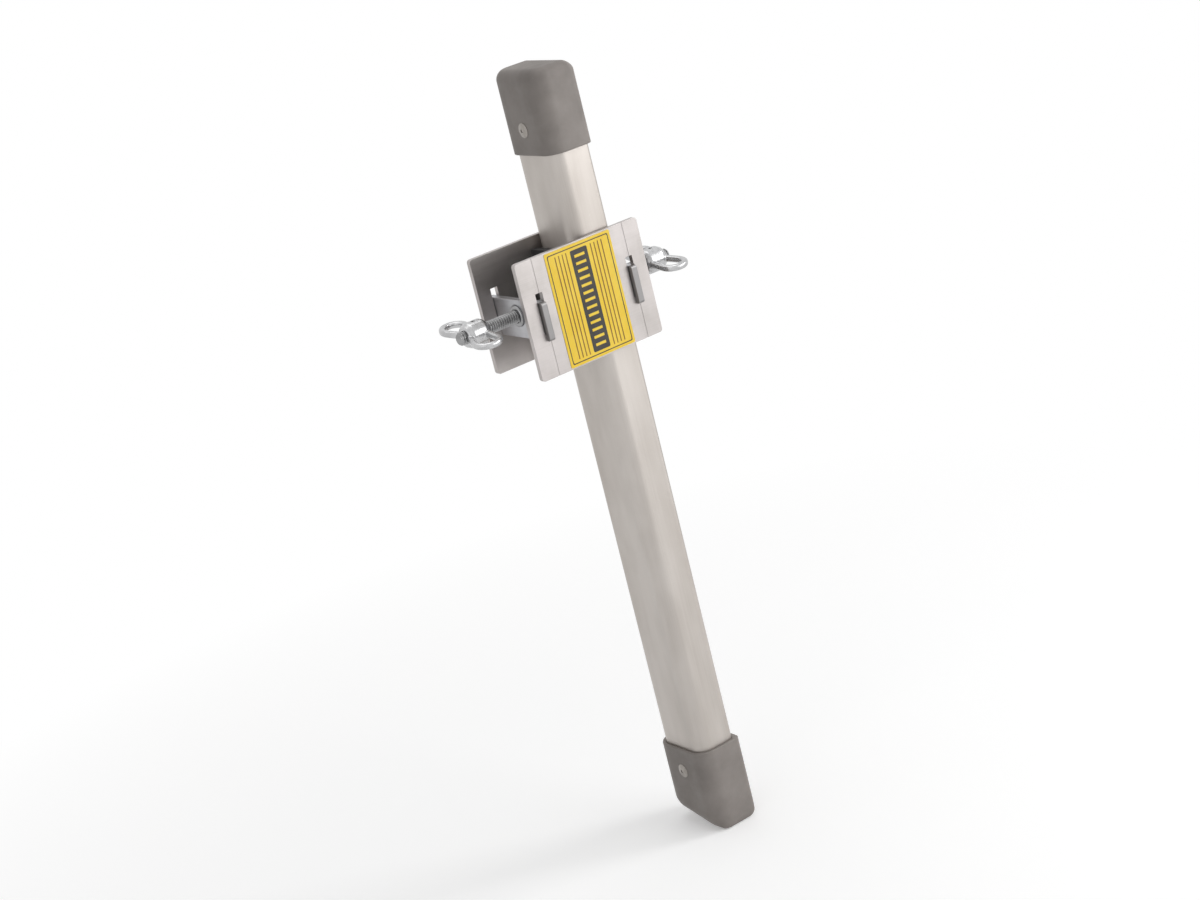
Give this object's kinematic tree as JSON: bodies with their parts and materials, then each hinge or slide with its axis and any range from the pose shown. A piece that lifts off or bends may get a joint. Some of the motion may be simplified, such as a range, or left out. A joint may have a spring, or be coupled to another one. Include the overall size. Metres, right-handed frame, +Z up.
{
  "type": "ladder leveller",
  "caption": "Sliding channel leg with rubber foot, held beside a ladder leg by a plate clamp with wing screws, to level a ladder on steps or uneven ground.",
  "frame": {"origin": "centre of the channel that takes the ladder leg, at mid height of the clamp", "axes": "+Z up along the leg, +X across the clamp towards the leveller's own leg, -Y to the front plate"},
  "size_m": [0.1928, 0.071, 0.6079],
  "materials": {
    "clamp_plate": "fine brushed, light wear along the edges",
    "bar_steel": "rolled flat bar, zinc plated",
    "zinc_steel": "zinc plated",
    "bright_zinc": "bright zinc plated casting",
    "rail_aluminium": "mill finish extrusion with fine lengthwise draw lines",
    "grey_rubber": "moulded matt",
    "rivet_metal": "plain",
    "black_rubber": "matt",
    "black_nylon": "matt",
    "label_film": "satin printed film"
  },
  "bodies": {
    "cage": {"rear_plate": "clamp_plate", "left_side_bar": "bar_steel", "right_side_bar": "bar_steel", "left_screw_bush": "zinc_steel", "right_screw_bush": "zinc_steel", "rail_spacer": "black_nylon", "spacer_screws": "zinc_steel"},
    "front": {"front_plate": "clamp_plate", "label": "label_film"},
    "leg": {"leg_rail": "rail_aluminium", "foot_boot": "grey_rubber", "foot_rivet": "rivet_metal", "top_cap": "grey_rubber", "cap_rivet": "rivet_metal"},
    "left_shoe": {"left_pad": "zinc_steel", "left_pad_facing": "black_rubber", "left_pad_clip": "zinc_steel"},
    "left_spindle": {"left_screw": "zinc_steel", "left_wing": "bright_zinc", "left_wing_pin": "zinc_steel"},
    "right_shoe": {"right_pad": "zinc_steel", "right_pad_facing": "black_rubber", "right_pad_clip": "zinc_steel"},
    "right_spindle": {"right_screw": "zinc_steel", "right_wing": "bright_zinc", "right_wing_pin": "zinc_steel"}
  },
  "joints": [
    {"name": "leg_slide", "type": "slide", "parent": "cage", "child": "leg", "axis": [0, 0, 1], "range_m": [-0.06, 0.32]},
    {"name": "front_plate_unhook", "type": "slide", "parent": "cage", "child": "front", "axis": [0, 0, 1], "range_m": [-0.006, 0]},
    {"name": "left_shoe_travel", "type": "slide", "parent": "cage", "child": "left_shoe", "axis": [-1, 0, 0], "range_m": [-0.002, 0.018]},
    {"name": "left_screw_turn", "type": "hinge", "parent": "left_shoe", "child": "left_spindle", "pos_m": [0, 0, 0], "axis": [-1, 0, 0], "range_deg": [-360, 3240]},
    {"name": "right_shoe_travel", "type": "slide", "parent": "cage", "child": "right_shoe", "axis": [1, 0, 0], "range_m": [0, 0.018]},
    {"name": "right_screw_turn", "type": "hinge", "parent": "right_shoe", "child": "right_spindle", "pos_m": [0, 0, 0], "axis": [1, 0, 0], "range_deg": [0, 3240]}
  ],
  "couplings": [
    {"joint": "left_screw_turn", "follows": "left_shoe_travel", "rad_per_m": 3141.6},
    {"joint": "right_screw_turn", "follows": "right_shoe_travel", "rad_per_m": 3141.6}
  ]
}
